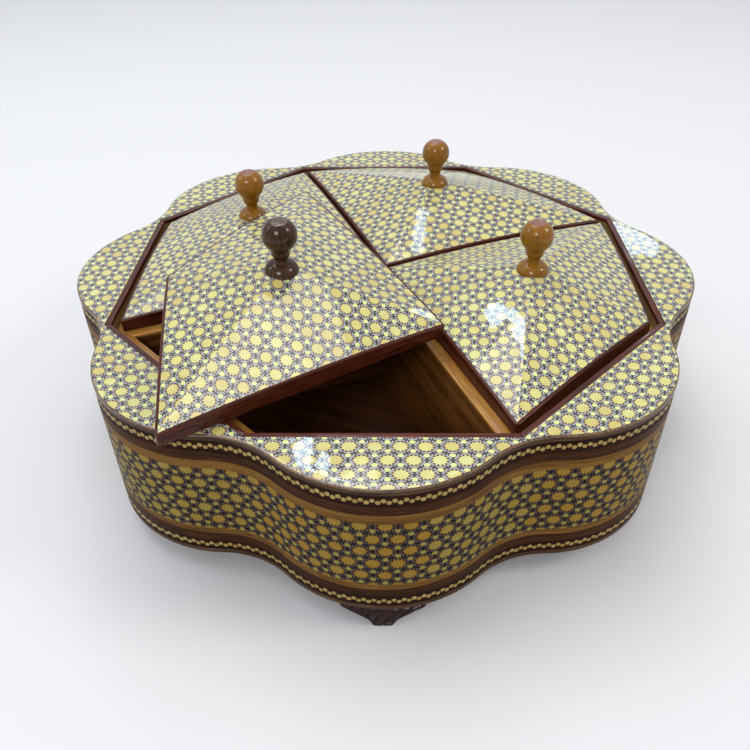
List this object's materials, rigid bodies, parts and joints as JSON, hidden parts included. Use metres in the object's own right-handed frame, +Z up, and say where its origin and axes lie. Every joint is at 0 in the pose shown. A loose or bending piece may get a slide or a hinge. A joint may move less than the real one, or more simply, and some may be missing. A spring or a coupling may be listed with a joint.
{
  "type": "inlaid candy box",
  "caption": "Lobed inlaid wooden candy box on carved feet, with a divided octagonal well and loose kite-shaped lids with turned knobs, one lid lifted out and laid over the rim",
  "frame": {"origin": "centre of the plane that the four feet stand on", "axes": "+Z up, -Y towards the side whose lid has been taken out, +X to the right seen from there"},
  "size_m": [0.28, 0.28, 0.1208],
  "materials": {
    "star_inlay": "gloss lacquer over a star pattern of small pale, red, black and grey-white rods",
    "wall_star_inlay": "gloss lacquer over the same star pattern, golden brown and darker",
    "rosewood": "gloss lacquer, dark red-brown",
    "dark_knob": "gloss lacquer, dark walnut",
    "honey_knob": "gloss lacquer, honey brown",
    "lid_wood": "oiled plain wood",
    "carved_walnut": "carved, dark stain, satin",
    "block_wood": "plain light wood",
    "stained_walnut": "stained dark brown, satin",
    "beech": "lacquered light wood",
    "bead_band": "gloss lacquer, very dark brown with a chain of pale beads",
    "brown_band": "gloss lacquer, red-brown",
    "light_band": "gloss lacquer, yellow-brown",
    "lipping": "gloss lacquer, olive brown"
  },
  "bodies": {
    "box": {"base_lipping": "lipping", "bottom_board": "stained_walnut", "divider_cap_long": "beech", "divider_caps_cross": "beech", "divider_cross": "stained_walnut", "divider_long": "stained_walnut", "foot_back": "carved_walnut", "foot_front": "carved_walnut", "foot_left": "carved_walnut", "foot_right": "carved_walnut", "ledge_caps": "beech", "lining_board_back": "stained_walnut", "lining_board_back_left": "stained_walnut", "lining_board_back_right": "stained_walnut", "lining_board_front": "stained_walnut", "lining_board_front_left": "stained_walnut", "lining_board_front_right": "stained_walnut", "lining_board_left": "stained_walnut", "lining_board_right": "stained_walnut", "lower_bead_band": "bead_band", "lower_brown_band": "brown_band", "lower_light_band": "light_band", "rim_inlay": "star_inlay", "rim_strips": "rosewood", "top_lipping": "lipping", "upper_bead_band": "bead_band", "upper_brown_band": "brown_band", "upper_light_band": "light_band", "wall_block_back": "block_wood", "wall_block_back_left": "block_wood", "wall_block_back_right": "block_wood", "wall_block_front": "block_wood", "wall_block_front_left": "block_wood", "wall_block_front_right": "block_wood", "wall_block_left": "block_wood", "wall_block_right": "block_wood", "wall_inlay": "wall_star_inlay"},
    "lid_right": {"lid_right_core": "lid_wood", "lid_right_edging": "rosewood", "lid_right_inlay": "star_inlay", "lid_right_knob": "honey_knob"},
    "lid_back": {"lid_back_core": "lid_wood", "lid_back_edging": "rosewood", "lid_back_inlay": "star_inlay", "lid_back_knob": "honey_knob"},
    "lid_left": {"lid_left_core": "lid_wood", "lid_left_edging": "rosewood", "lid_left_inlay": "star_inlay", "lid_left_knob": "honey_knob"},
    "lid_front": {"lid_front_core": "lid_wood", "lid_front_edging": "rosewood", "lid_front_inlay": "star_inlay", "lid_front_knob": "dark_knob"}
  },
  "joints": [
    {"name": "lid_right_lift", "type": "slide", "parent": "box", "child": "lid_right", "axis": [0, 0, 1], "range_m": [0, 0.08]},
    {"name": "lid_back_lift", "type": "slide", "parent": "box", "child": "lid_back", "axis": [0, 0, 1], "range_m": [0, 0.08]},
    {"name": "lid_left_lift", "type": "slide", "parent": "box", "child": "lid_left", "axis": [0, 0, 1], "range_m": [0, 0.08]},
    {"name": "lid_front_lift", "type": "slide", "parent": "lid_left", "child": "lid_front", "axis": [0, 0, 1], "range_m": [0, 0.08]}
  ]
}
